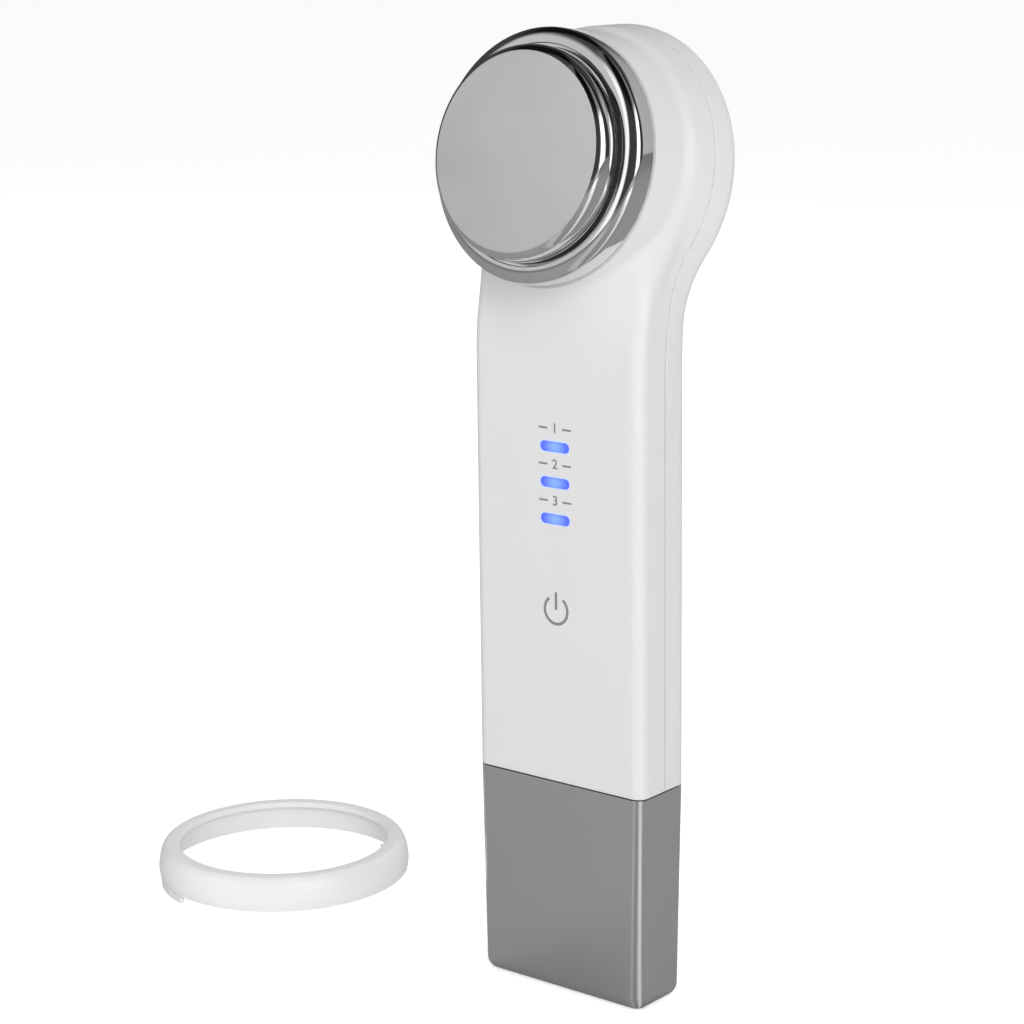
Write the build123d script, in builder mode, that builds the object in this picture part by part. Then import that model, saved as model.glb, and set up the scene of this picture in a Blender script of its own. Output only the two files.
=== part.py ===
from build123d import *
import os
from math import cos, sin, sqrt, radians

# Facial massager with a round metal probe, standing upright on its base.
# Millimetres. Origin: centre of the base's flat underside. +Z up, the probe faces -Y, +X is right.

os.makedirs("parts", exist_ok=True)

# ---- driving dimensions -------------------------------------------------------------------
HANDLE_W = 38.6              # handle width, X
HANDLE_D = 14.6              # handle depth, Y
CAP_H = 41.4                 # height of the metal base cap
SEAM = 0.25                  # dark seam between cap and shells
CAP_SHRINK_W = 0.35          # the cap narrows by this on each side at its foot
CAP_SHRINK_BACK = 0.8        # and by this at its back
FRONT_EDGE_R = 2.2           # rounding of the handle's front edges
BACK_EDGE_R = 3.0            # rounding of the back edges
WALL = 1.8                   # plastic wall
CAP_WALL = 1.5               # metal cap wall

TILT = 11.4                  # the head leans back by this, degrees
HEAD_Y = 6.92                # reference point on the probe's axis
HEAD_Z = 154.2
HEAD_R0 = 25.9               # head radius at the reference point
HEAD_DRAFT = 0.2             # the head narrows by this for each millimetre towards its front
HEAD_BACK = -5.8             # back of the head, measured along the probe's axis
NECK_FRONT = 8.4             # front plane of the neck, along the axis
HEAD_FRONT = 14.75           # seat of the chrome bezel, along the axis
PEDESTAL_TOP_R = 22.95       # the white pedestal under the bezel
PEDESTAL_FOOT_R = 24.3       # and its foot, inside the head
PEDESTAL_LOW = 2.0
NECK_R = 24.0                # fillet between handle sides and head
BEND_R = 60.0                # soft bend from handle to neck

PARTING_Y = 0.2              # parting line of the shells in the handle
PARTING_P = 0.6              # and in the head, along the axis
PARTING_GAP = 0.1            # width of the parting line

BEZEL_R = 22.65              # chrome flange
BEZEL_WALL_H = 4.2
BEZEL_TOP_H = 5.8
BEZEL_BORE_R = 17.2
STAGE_R = 19.0               # smaller rounded stage of the probe
DISC_R = 17.6                # flat contact disc
DISC_H = 10.55               # contact disc above the bezel's seat
STAGE_FOOT_H = 6.15
STAGE_WALL_TOP_H = 8.1
APERTURE_R = 17.6            # opening in the front shell behind the bezel

LIGHT_Z = (105.15, 98.5, 91.7)
LIGHT_W = 6.7
LIGHT_H = 2.0
TOUCH_Z = 74.6

RING_R = 26.4                # cotton ring, outside
RING_TOP_R = 22.0            # its upper opening
RING_IN_R = 24.9             # its lower opening
RING_H = 6.8
RING_LUG_H = 1.8             # two hooked lugs under the ring
RING_LUG_ARC = 35.0          # degrees of arc of each lug
RING_AT = (-84.5, 6.0)       # where the ring lies beside the massager

# ---- derived places -----------------------------------------------------------------------
HALF_W = HANDLE_W / 2
HALF_D = HANDLE_D / 2
TOP_Z = CAP_H + SEAM         # lower edge of the shells
AXIS = Vector(0, -cos(radians(TILT)), sin(radians(TILT)))
UPWARD = Vector(0, sin(radians(TILT)), cos(radians(TILT)))
HEAD = Plane(origin=(0, HEAD_Y, HEAD_Z), x_dir=(1, 0, 0), z_dir=AXIS)
FAR = 60.0                   # beyond the object in any direction
PLANE_UP = 34.0              # above the head's centre, past its rim
BEND_SAG = 0.35              # how far the soft bend stands off its two planes


def head_plane(p):
    """Plane square to the probe's axis, p along it from the head's reference point."""
    return HEAD.offset(p)


def side_point(p, s):
    """(y, z) of a point p along the probe's axis and s up the face of the head."""
    point = Vector(0, HEAD_Y, HEAD_Z) + AXIS * p + UPWARD * s
    return (point.Y, point.Z)


def bend_z(y, p):
    """Height where the upright plane at y meets the leaning plane at p."""
    return HEAD_Z + (p + (y - HEAD_Y) * cos(radians(TILT))) / sin(radians(TILT))


def lean_profile(y_front, y_back, p_front, p_back, z_low):
    """Side outline that is upright in the handle and leans back in the head."""
    with BuildSketch(Plane.YZ) as profile:
        with BuildLine():
            Polyline(
                (y_front, z_low),
                (y_front, bend_z(y_front, p_front)),
                side_point(p_front, PLANE_UP),
                side_point(p_back, PLANE_UP),
                (y_back, bend_z(y_back, p_back)),
                (y_back, z_low),
                close=True,
            )
        make_face()
        bends = [v for v in profile.vertices() if z_low + 1 < v.Y < HEAD_Z]
        fillet(bends, BEND_R)
    return profile.sketch


def face_outline(p, half_w, inset):
    """Front outline of handle, neck and head in the plane at p; inset moves the head's rim in."""
    radius = HEAD_R0 - HEAD_DRAFT * p - inset
    blend = NECK_R + inset
    across = half_w + blend
    down = -sqrt((radius + blend) ** 2 - across ** 2)
    share = radius / (radius + blend)
    touch = (across * share, down * share)
    foot = -HEAD_Z
    with BuildSketch(head_plane(p)) as outline:
        with BuildLine():
            Line((-half_w, foot), (half_w, foot))
            Line((half_w, foot), (half_w, down))
            RadiusArc((half_w, down), touch, blend)
            ThreePointArc(touch, (0, radius), (-touch[0], touch[1]))
            RadiusArc((-touch[0], touch[1]), (-half_w, down), blend)
            Line((-half_w, down), (-half_w, foot))
        make_face()
    return outline.sketch


def pedestal(inset, p_high):
    """The round pedestal that carries the bezel, about the probe's axis."""
    with BuildPart() as drum:
        with BuildSketch(Plane(origin=HEAD.origin, x_dir=(1, 0, 0), z_dir=-UPWARD)):
            with BuildLine():
                Polyline(
                    (0, PEDESTAL_LOW),
                    (PEDESTAL_FOOT_R - inset, PEDESTAL_LOW),
                    (PEDESTAL_TOP_R - inset, p_high),
                    (0, p_high),
                    close=True,
                )
            make_face()
        revolve(axis=Axis(HEAD.origin, AXIS))
    return drum.part


def along(point):
    """How far a point lies forward along the probe's axis."""
    return (point - HEAD.origin).dot(AXIS)


def front_gap(point):
    """Depth of a point behind the front of handle and neck."""
    return min(point.Y + HALF_D, NECK_FRONT - along(point))


def back_gap(point):
    """Depth of a point inside the back of handle and head."""
    return abs(min(point.Y - HALF_D, HEAD_BACK - along(point)))


def body_form(inset, z_low):
    """Handle, neck and the head's drum behind its taper; inset gives the hollow inside."""
    low = face_outline(-PLANE_UP, HALF_W - inset, inset)
    high = face_outline(PLANE_UP / 2, HALF_W - inset, inset)
    profile = lean_profile(
        inset - HALF_D, HALF_D - inset, NECK_FRONT - inset, HEAD_BACK + inset, z_low
    )
    with BuildPart() as form:
        loft([low.face(), high.face()], ruled=True)
        extrude(profile.face(), amount=FAR, both=True, mode=Mode.INTERSECT)
    return form.part


def rim(part, gap):
    """The long edges where the given gap is closed, all round handle and head."""
    return [
        edge
        for edge in part.edges().filter_by(GeomType.BSPLINE)
        if all(gap(edge @ t) < BEND_SAG for t in (0.1, 0.5, 0.9))
    ]


def parting_region(front):
    """Everything in front of, or behind, the parting line of the two shells."""
    side = -1 if front else 1
    y = PARTING_Y + side * PARTING_GAP / 2
    p = PARTING_P - side * PARTING_GAP / 2
    top = side_point(p, PLANE_UP)
    with BuildPart() as region:
        with BuildSketch(Plane.YZ) as half:
            with BuildLine():
                Polyline(
                    (y, 0),
                    (y, bend_z(y, p)),
                    top,
                    (side * FAR, top[1]),
                    (side * FAR, 0),
                    close=True,
                )
            make_face()
            bends = [v for v in half.vertices() if 1 < v.Y < HEAD_Z]
            fillet(bends, BEND_R)
        extrude(amount=FAR, both=True)
    return region.part


def rounded_section(z, inset, corner_front, corner_back):
    """Section of the base cap at height z."""
    foot = 1 - z / CAP_H
    half_w = HALF_W - CAP_SHRINK_W * foot - inset
    front = inset - HALF_D
    back = HALF_D - CAP_SHRINK_BACK * foot - inset
    with BuildSketch(Plane.XY.offset(z)) as section:
        with Locations((0, (front + back) / 2)):
            Rectangle(2 * half_w, back - front)
        fillet(section.vertices().group_by(Axis.Y)[0], corner_front)
        fillet(section.vertices().group_by(Axis.Y)[-1], corner_back)
    return section.sketch


def plain_box(x, y, z):
    """Box from three (low, high) ranges."""
    size = (x[1] - x[0], y[1] - y[0], z[1] - z[0])
    middle = ((x[0] + x[1]) / 2, (y[0] + y[1]) / 2, (z[0] + z[1]) / 2)
    return Pos(*middle) * Box(*size, mode=Mode.PRIVATE)


def upright_post(x, y, z, corner):
    """Box with rounded upright edges."""
    with BuildPart() as post:
        add(plain_box(x, y, z))
        fillet(post.edges().filter_by(Axis.Z), corner)
    return post.part


def capsule_bar(width, height, z, y_low, y_high):
    """Capsule-ended bar through the front wall, from y_low to y_high."""
    with BuildPart() as bar:
        with BuildSketch(Plane.XZ.offset(-y_high)):
            with Locations((0, z)):
                SlotOverall(width, height)
        extrude(amount=y_high - y_low)
    return bar.part


def head_ring(r_in, r_out, p_low, p_high):
    """Round tube about the probe's axis."""
    with BuildPart() as tube:
        with BuildSketch(head_plane(p_low)):
            Circle(r_out)
            if r_in > 0:
                Circle(r_in, mode=Mode.SUBTRACT)
        extrude(amount=p_high - p_low)
    return tube.part


def head_pegs(places, radius, p_low, p_high):
    """Round pegs along the probe's axis at places (x, s) on the head's face."""
    with BuildPart() as pegs:
        with BuildSketch(head_plane(p_low)):
            with Locations(*places):
                Circle(radius)
        extrude(amount=p_high - p_low)
    return pegs.part


def head_block(x, s, p):
    """Block in the head from three (low, high) ranges."""
    with BuildPart() as block:
        with BuildSketch(head_plane(p[0])):
            with Locations(((x[0] + x[1]) / 2, (s[0] + s[1]) / 2)):
                Rectangle(x[1] - x[0], s[1] - s[0])
        extrude(amount=p[1] - p[0])
    return block.part


def head_place(x, s, p):
    """Point x across, s up the face and p along the probe's axis."""
    return HEAD.origin + Vector(x, 0, 0) + UPWARD * s + AXIS * p


def wire(points, radius, bend):
    """Insulated wire along straight runs with round bends."""
    with BuildPart() as lead:
        with BuildLine() as path:
            FilletPolyline(*points, radius=bend)
        with BuildSketch(Plane(origin=path.line @ 0, z_dir=path.line % 0)):
            Circle(radius)
        sweep()
    return lead.part


def save(builder, name):
    """Label a finished piece and write it."""
    builder.part.label = name
    export_step(builder.part, f"parts/{name}.step")


# ---- base cap: metal, hand electrode ------------------------------------------------------
CAP_FOOT_R = 2.4             # rounding where the sides meet the underside
CAP_FLOOR = 2.0
USB_W = 8.94
USB_H = 3.16
USB_CLEAR = 0.12
USB_X = 9.0                  # the inlet sits to one side, so the underside's middle is whole

with BuildPart() as base_cap:
    foot = rounded_section(0, 0, FRONT_EDGE_R + 0.6, BACK_EDGE_R + 0.2)
    head_end = rounded_section(CAP_H, 0, FRONT_EDGE_R, BACK_EDGE_R)
    loft([foot.face(), head_end.face()], ruled=True)
    fillet(base_cap.edges().group_by(Axis.Z)[0], CAP_FOOT_R)
    pocket_low = rounded_section(CAP_FLOOR, CAP_WALL, 1.0, 1.5)
    pocket_high = rounded_section(CAP_H, CAP_WALL, 1.0, 1.5)
    loft([pocket_low.face(), pocket_high.face()], ruled=True, mode=Mode.SUBTRACT)
    with BuildSketch(Plane.XY):
        with Locations((USB_X, 0)):
            SlotOverall(USB_W + 2 * USB_CLEAR, USB_H + 2 * USB_CLEAR)
    extrude(amount=CAP_FLOOR, mode=Mode.SUBTRACT)
save(base_cap, "base_cap")

with BuildPart() as seam_gasket:
    GASKET_INSET = 0.35
    outer_ring = rounded_section(CAP_H, GASKET_INSET, FRONT_EDGE_R, BACK_EDGE_R)
    extrude(outer_ring.face(), amount=SEAM)
    inner_ring = rounded_section(CAP_H, CAP_WALL, 1.0, 1.5)
    extrude(inner_ring.face(), amount=SEAM, mode=Mode.SUBTRACT)
save(seam_gasket, "seam_gasket")

# ---- shells ---------------------------------------------------------------------------------
SPIGOT_LOW = 33.5            # the shells' tongue reaches down into the cap
SPIGOT_HIGH = 45.0
SPIGOT_OUT = ((-17.65, 17.65), (-5.6, 5.4))
SPIGOT_IN = ((-16.5, 16.5), (-4.7, 4.5))
SPIGOT_R = 2.0
SCREW_PLACES = ((-13.5, -9.0), (13.5, -9.0))
SHELL_SCREW_R = 0.7
SHELL_HOLE_R = 0.9
BOSS_R = 2.3
BOSS_TOP = -0.2
LUG_P = (0.75, 2.5)
LUG_S = (-12.0, -6.0)
LUG_REACH = (11.0, 22.6)
BEZEL_SCREW_RING = 19.6
BEZEL_SCREW_ANGLES = (90, 210, 330)
BEZEL_SCREW_R = 0.8
BEZEL_HOLE_R = 0.95
LENS_PLAY = 0.05
INNER_LOW = 30.0

outer_form = body_form(0, TOP_Z)
outer_form = outer_form.fillet(BACK_EDGE_R, rim(outer_form, back_gap))
outer_form = outer_form.fillet(FRONT_EDGE_R, rim(outer_form, front_gap))
bezel_screw_places = [
    (BEZEL_SCREW_RING * cos(radians(angle)), BEZEL_SCREW_RING * sin(radians(angle)))
    for angle in BEZEL_SCREW_ANGLES
]

with BuildPart() as shells:
    add(outer_form)
    add(pedestal(0, HEAD_FRONT))
    add(body_form(WALL, INNER_LOW), mode=Mode.SUBTRACT)
    add(pedestal(WALL, HEAD_FRONT - WALL), mode=Mode.SUBTRACT)
    split(bisect_by=Plane.YZ)
    mirror(about=Plane.YZ)
    add(upright_post(*SPIGOT_OUT, (SPIGOT_LOW, SPIGOT_HIGH), SPIGOT_R))
    add(upright_post(*SPIGOT_IN, (SPIGOT_LOW, SPIGOT_HIGH), SPIGOT_R / 2), mode=Mode.SUBTRACT)

with BuildPart() as front_shell:
    add(shells.part)
    add(parting_region(True), mode=Mode.INTERSECT)
    for side in (-1, 1):
        reach = sorted(side * x for x in LUG_REACH)
        add(head_block(reach, LUG_S, LUG_P))
    add(head_pegs(SCREW_PLACES, SHELL_HOLE_R, *LUG_P), mode=Mode.SUBTRACT)
    add(head_ring(0, APERTURE_R, HEAD_FRONT - 2 * WALL, HEAD_FRONT + 1), mode=Mode.SUBTRACT)
    add(
        head_pegs(bezel_screw_places, BEZEL_HOLE_R, HEAD_FRONT - 2 * WALL, HEAD_FRONT),
        mode=Mode.SUBTRACT,
    )
    for light_z in LIGHT_Z:
        add(
            capsule_bar(LIGHT_W, LIGHT_H, light_z, -HALF_D - 1, -HALF_D + 2 * WALL),
            mode=Mode.SUBTRACT,
        )
save(front_shell, "front_shell")

with BuildPart() as back_shell:
    add(shells.part)
    add(parting_region(False), mode=Mode.INTERSECT)
    add(head_pegs(SCREW_PLACES, BOSS_R, HEAD_BACK + WALL / 2, BOSS_TOP))
    add(head_pegs(SCREW_PLACES, SHELL_SCREW_R, HEAD_BACK + WALL, BOSS_TOP), mode=Mode.SUBTRACT)
save(back_shell, "back_shell")

with BuildPart() as shell_screws:
    SCREW_HEAD_R = 1.6
    SCREW_HEAD_H = 1.2
    add(head_pegs(SCREW_PLACES, SHELL_SCREW_R, HEAD_BACK + WALL + 0.5, LUG_P[1]))
    add(head_pegs(SCREW_PLACES, SCREW_HEAD_R, LUG_P[1], LUG_P[1] + SCREW_HEAD_H))
save(shell_screws, "shell_screws")

# ---- probe: bezel, cup, seal, insulator ---------------------------------------------------
REVEAL_R = 22.0              # narrow waist under the flange
REVEAL_H = 0.7
SHOULDER_IN = 0.95           # middle of the rounded shoulder, in from the wall and up from its top
SHOULDER_UP = 1.15
SCREW_HOLE_TOP = 0.5         # the screw holes end this far under the wall's top
SCREW_TIP_TOP = 0.7
GROOVE_R = 19.6
GROOVE_FLOOR_H = 5.45
SEAL_IN_R = 17.3
SEAL_OUT_R = 18.8
SLEEVE_R = 14.8
SLEEVE_BORE_R = 13.4
SLEEVE_END_P = 10.5
CUP_POCKET_H = 9.0
CLIP_P = (11.1, 11.6)
CLIP_PLAY = 0.05
CLIP_SEAT_R = 14.3
CLIP_OUT_R = 16.4
INSULATOR_BORE_R = 14.9
INSULATOR_TUBE_R = 17.1
INSULATOR_FLANGE_R = 21.0
INSULATOR_P = (11.75, HEAD_FRONT - WALL)
PROFILE_PLANE = Plane(origin=HEAD.origin, x_dir=(1, 0, 0), z_dir=-UPWARD)
PROBE_AXIS = Axis(HEAD.origin, AXIS)

with BuildPart() as probe_bezel:
    with BuildSketch(PROFILE_PLANE):
        with BuildLine():
            seat = HEAD_FRONT
            shoulder = (BEZEL_R, seat + BEZEL_WALL_H)
            crown = (GROOVE_R, seat + BEZEL_TOP_H)
            Polyline(
                crown,
                (GROOVE_R, seat + GROOVE_FLOOR_H),
                (BEZEL_BORE_R, seat + GROOVE_FLOOR_H),
                (BEZEL_BORE_R, seat),
                (REVEAL_R, seat),
                (REVEAL_R, seat + REVEAL_H),
                (BEZEL_R, seat + REVEAL_H),
                shoulder,
            )
            bulge = (BEZEL_R - SHOULDER_IN, seat + BEZEL_WALL_H + SHOULDER_UP)
            ThreePointArc(shoulder, bulge, crown)
        make_face()
    revolve(axis=PROBE_AXIS)
    screw_hole_end = HEAD_FRONT + BEZEL_WALL_H - SCREW_HOLE_TOP
    add(
        head_pegs(bezel_screw_places, BEZEL_SCREW_R, HEAD_FRONT, screw_hole_end),
        mode=Mode.SUBTRACT,
    )
save(probe_bezel, "probe_bezel")

with BuildPart() as probe_cup:
    with BuildSketch(PROFILE_PLANE):
        with BuildLine():
            EllipticalCenterArc(
                (DISC_R, seat + STAGE_WALL_TOP_H),
                STAGE_R - DISC_R,
                DISC_H - STAGE_WALL_TOP_H,
                start_angle=0,
                arc_size=90,
            )
            Polyline(
                (DISC_R, seat + DISC_H),
                (0, seat + DISC_H),
                (0, seat + CUP_POCKET_H),
                (SLEEVE_BORE_R, seat + CUP_POCKET_H),
                (SLEEVE_BORE_R, SLEEVE_END_P),
                (SLEEVE_R, SLEEVE_END_P),
                (SLEEVE_R, seat + STAGE_FOOT_H),
                (STAGE_R, seat + STAGE_FOOT_H),
                (STAGE_R, seat + STAGE_WALL_TOP_H),
            )
        make_face()
    revolve(axis=PROBE_AXIS)
    add(
        head_ring(CLIP_SEAT_R, SLEEVE_R + 1, CLIP_P[0] - CLIP_PLAY, CLIP_P[1] + CLIP_PLAY),
        mode=Mode.SUBTRACT,
    )
save(probe_cup, "probe_cup")

with BuildPart() as probe_seal:
    add(head_ring(SEAL_IN_R, SEAL_OUT_R, seat + GROOVE_FLOOR_H, seat + STAGE_FOOT_H))
save(probe_seal, "probe_seal")

with BuildPart() as probe_insulator:
    add(head_ring(INSULATOR_BORE_R, INSULATOR_TUBE_R, INSULATOR_P[0], seat + STAGE_FOOT_H))
    add(head_ring(INSULATOR_BORE_R, INSULATOR_FLANGE_R, *INSULATOR_P))
    add(head_pegs(bezel_screw_places, BEZEL_HOLE_R, *INSULATOR_P), mode=Mode.SUBTRACT)
save(probe_insulator, "probe_insulator")

with BuildPart() as probe_clip:
    CLIP_MOUTH = 16.0
    add(head_ring(CLIP_SEAT_R, CLIP_OUT_R, *CLIP_P))
    add(
        head_block((-CLIP_MOUTH / 2, CLIP_MOUTH / 2), (-CLIP_OUT_R - 1, 0), CLIP_P),
        mode=Mode.SUBTRACT,
    )
save(probe_clip, "probe_clip")

with BuildPart() as bezel_screws:
    BEZEL_SCREW_HEAD_R = 1.4
    BEZEL_SCREW_HEAD_H = 1.1
    BEZEL_SCREW_TIP = HEAD_FRONT + BEZEL_WALL_H - SCREW_TIP_TOP
    add(head_pegs(bezel_screw_places, BEZEL_SCREW_R, INSULATOR_P[0], BEZEL_SCREW_TIP))
    add(
        head_pegs(
            bezel_screw_places,
            BEZEL_SCREW_HEAD_R,
            INSULATOR_P[0] - BEZEL_SCREW_HEAD_H,
            INSULATOR_P[0],
        )
    )
save(bezel_screws, "bezel_screws")

# ---- lights, touch key and main board -----------------------------------------------------
FRONT_IN = -HALF_D + WALL    # inner face of the front wall
BOARD_Y = (-0.6, 0.4)
BOARD_Z = (60.0, 121.0)
BOARD_HALF_W = 15.5
LENS_RECESS = 0.03
LENS_FLANGE_T = 0.55
LENS_FLANGE_GROW = 1.4
LED_SIZE = (3.2, 0.8, 1.6)
BAFFLE_HALF_W = 7.5
BAFFLE_Z = (87.0, 110.0)
BAFFLE_GAP = 0.05
WELL_GROW_W = 0.3            # the light wells are larger than the windows by this
WELL_GROW_H = 0.4
TOUCH_PAD_R = 4.6

for lens_name, light_z in zip(("lens_top", "lens_middle", "lens_bottom"), LIGHT_Z):
    with BuildPart() as lens:
        add(
            capsule_bar(
                LIGHT_W - 2 * LENS_PLAY,
                LIGHT_H - 2 * LENS_PLAY,
                light_z,
                -HALF_D + LENS_RECESS,
                FRONT_IN,
            )
        )
        add(
            capsule_bar(
                LIGHT_W + LENS_FLANGE_GROW,
                LIGHT_H + LENS_FLANGE_GROW,
                light_z,
                FRONT_IN,
                FRONT_IN + LENS_FLANGE_T,
            )
        )
    save(lens, lens_name)

with BuildPart() as light_baffle:
    baffle_y = (FRONT_IN + LENS_FLANGE_T + BAFFLE_GAP, BOARD_Y[0] - BAFFLE_GAP)
    add(plain_box((-BAFFLE_HALF_W, BAFFLE_HALF_W), baffle_y, BAFFLE_Z))
    for light_z in LIGHT_Z:
        add(
            capsule_bar(
                LIGHT_W + WELL_GROW_W,
                LIGHT_H + WELL_GROW_H,
                light_z,
                baffle_y[0] - 1,
                baffle_y[1] + 1,
            ),
            mode=Mode.SUBTRACT,
        )
save(light_baffle, "light_baffle")

with BuildPart() as status_leds:
    for light_z in LIGHT_Z:
        with Locations((0, BOARD_Y[0] - LED_SIZE[1] / 2, light_z)):
            Box(*LED_SIZE)
save(status_leds, "status_leds")

with BuildPart() as touch_pad:
    with BuildSketch(Plane.XZ.offset(-BOARD_Y[0])):
        with Locations((0, TOUCH_Z)):
            Circle(TOUCH_PAD_R)
    extrude(amount=BOARD_Y[0] - FRONT_IN)
save(touch_pad, "touch_pad")

with BuildPart() as main_board:
    BOARD_CORNER_R = 1.0
    board_length = BOARD_Z[1] - BOARD_Z[0]
    with BuildSketch(Plane.XZ.offset(-BOARD_Y[1])):
        with Locations((0, (BOARD_Z[0] + BOARD_Z[1]) / 2)):
            RectangleRounded(2 * BOARD_HALF_W, board_length, BOARD_CORNER_R)
    extrude(amount=BOARD_Y[1] - BOARD_Y[0])
save(main_board, "main_board")

with BuildPart() as board_chips:
    CHIPS = (                # (x, z) on the board and (width, thickness, height)
        ((-2.0, 100.0), (7.0, 1.2, 7.0)),
        ((6.0, 84.0), (5.0, 1.6, 4.0)),
        ((-8.0, 88.0), (3.0, 2.2, 3.0)),
        ((2.0, 72.0), (6.0, 1.2, 3.0)),
        ((-9.0, 74.0), (4.0, 2.0, 4.0)),
    )
    for (chip_x, chip_z), chip_size in CHIPS:
        with Locations((chip_x, BOARD_Y[1] + chip_size[1] / 2, chip_z)):
            Box(*chip_size)
save(board_chips, "board_chips")

# ---- battery and charging inlet ----------------------------------------------------------
TRAY_X = 16.3
TRAY_Y = (-4.55, 4.35)
TRAY_Z = (10.5, 58.0)
TRAY_WALL = 0.8
TRAY_CORNER_R = 1.2
CELL_X = 15.0
CELL_Y = (-3.5, 2.2)
CELL_Z = (12.0, 55.0)
CELL_R = 1.2
SOCKET_Z = (0.4, 7.8)
SOCKET_SHEET = 0.35
SOCKET_BACK = 1.5
SOCKET_BOARD_HALF_W = 7.0
SOCKET_BOARD_T = 0.8
SOCKET_BOARD_Z = (2.3, 9.8)
TONGUE_T = 0.7
TONGUE_SHORT = 2.0           # the tongue is narrower than the socket by this
FOAM_HALF_W = 12.0
FOAM_Z = (16.0, 50.0)

with BuildPart() as battery_tray:
    add(upright_post((-TRAY_X, TRAY_X), TRAY_Y, TRAY_Z, TRAY_CORNER_R))
    add(
        plain_box(
            (-TRAY_X + TRAY_WALL, TRAY_X - TRAY_WALL),
            (TRAY_Y[0] + TRAY_WALL, TRAY_Y[1] - TRAY_WALL),
            (TRAY_Z[0] + TRAY_WALL, TRAY_Z[1]),
        ),
        mode=Mode.SUBTRACT,
    )
save(battery_tray, "battery_tray")

with BuildPart() as battery_cell:
    add(plain_box((-CELL_X, CELL_X), CELL_Y, CELL_Z))
    fillet(battery_cell.edges().filter_by(Axis.Z), CELL_R)
save(battery_cell, "battery_cell")

with BuildPart() as battery_foam:
    add(plain_box((-FOAM_HALF_W, FOAM_HALF_W), (CELL_Y[1], TRAY_Y[1] - TRAY_WALL), FOAM_Z))
save(battery_foam, "battery_foam")

with BuildPart() as usb_socket:
    with BuildSketch(Plane.XY.offset(SOCKET_Z[0])):
        with Locations((USB_X, 0)):
            SlotOverall(USB_W, USB_H)
    extrude(amount=SOCKET_Z[1] - SOCKET_Z[0])
    with BuildSketch(Plane.XY.offset(SOCKET_Z[0])):
        with Locations((USB_X, 0)):
            SlotOverall(USB_W - 2 * SOCKET_SHEET, USB_H - 2 * SOCKET_SHEET)
            Rectangle(USB_W - TONGUE_SHORT, TONGUE_T, mode=Mode.SUBTRACT)
    extrude(amount=SOCKET_Z[1] - SOCKET_Z[0] - SOCKET_BACK, mode=Mode.SUBTRACT)
save(usb_socket, "usb_socket")

with BuildPart() as socket_board:
    socket_board_x = (USB_X - SOCKET_BOARD_HALF_W, USB_X + SOCKET_BOARD_HALF_W)
    add(plain_box(socket_board_x, (USB_H / 2, USB_H / 2 + SOCKET_BOARD_T), SOCKET_BOARD_Z))
save(socket_board, "socket_board")

with BuildPart() as cap_contact:
    CONTACT_T = 0.3
    CONTACT_HALF_Y = 2.0
    CONTACT_Z = 22.0         # middle of the leaf, where it bows out to the cap
    CONTACT_BOW = 0.95
    CONTACT_BEND = 4.0
    CONTACT_END = 8.0
    contact_x = TRAY_X + CONTACT_T / 2
    with BuildSketch(Plane.XZ.offset(-CONTACT_HALF_Y)):
        with BuildLine():
            Polyline(
                (contact_x, CONTACT_Z - CONTACT_END),
                (contact_x, CONTACT_Z - CONTACT_BEND),
                (contact_x + CONTACT_BOW, CONTACT_Z),
                (contact_x, CONTACT_Z + CONTACT_BEND),
                (contact_x, CONTACT_Z + CONTACT_END),
            )
        trace(line_width=CONTACT_T)
    extrude(amount=2 * CONTACT_HALF_Y)
save(cap_contact, "cap_contact")

# ---- vibration motor ----------------------------------------------------------------------
MOTOR_S = 6.0                # motor axis up the face and along the probe's axis
MOTOR_P = 3.2
MOTOR_R = 4.0
MOTOR_X = (-16.0, -3.0)
SHAFT_R = 0.5
SHAFT_PLAY = 0.05
SHAFT_X = (-12.5, 4.5)
WEIGHT_R = 5.2
WEIGHT_X = (-1.5, 3.5)
HUB_R = 1.4
SHAFT_END_PLAY = 0.3
CRADLE_X = (-15.0, -5.0)
CRADLE_HALF_S = 5.2
CRADLE_LOW = 0.5             # the cradle's top lies this far behind the motor's axis


def across_head(x):
    """Plane square to X at x, centred on the motor's axis."""
    return Plane(origin=head_place(x, MOTOR_S, MOTOR_P), x_dir=(0, 0, 1), z_dir=(1, 0, 0))


with BuildPart() as motor_can:
    with BuildSketch(across_head(MOTOR_X[0])):
        Circle(MOTOR_R)
    extrude(amount=MOTOR_X[1] - MOTOR_X[0])
    with BuildSketch(across_head(SHAFT_X[0] - SHAFT_END_PLAY)):
        Circle(SHAFT_R + SHAFT_PLAY)
    extrude(amount=MOTOR_X[1] - SHAFT_X[0] + SHAFT_END_PLAY, mode=Mode.SUBTRACT)
save(motor_can, "motor_can")

with BuildPart() as motor_shaft:
    with BuildSketch(across_head(SHAFT_X[0])):
        Circle(SHAFT_R)
    extrude(amount=SHAFT_X[1] - SHAFT_X[0])
save(motor_shaft, "motor_shaft")

with BuildPart() as eccentric_weight:
    with BuildSketch(across_head(WEIGHT_X[0])):
        Circle(WEIGHT_R)
        with Locations((WEIGHT_R, 0)):
            Rectangle(2 * WEIGHT_R, 2 * WEIGHT_R, mode=Mode.SUBTRACT)
        Circle(HUB_R)
        Circle(SHAFT_R, mode=Mode.SUBTRACT)
    extrude(amount=WEIGHT_X[1] - WEIGHT_X[0])
save(eccentric_weight, "eccentric_weight")

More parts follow.
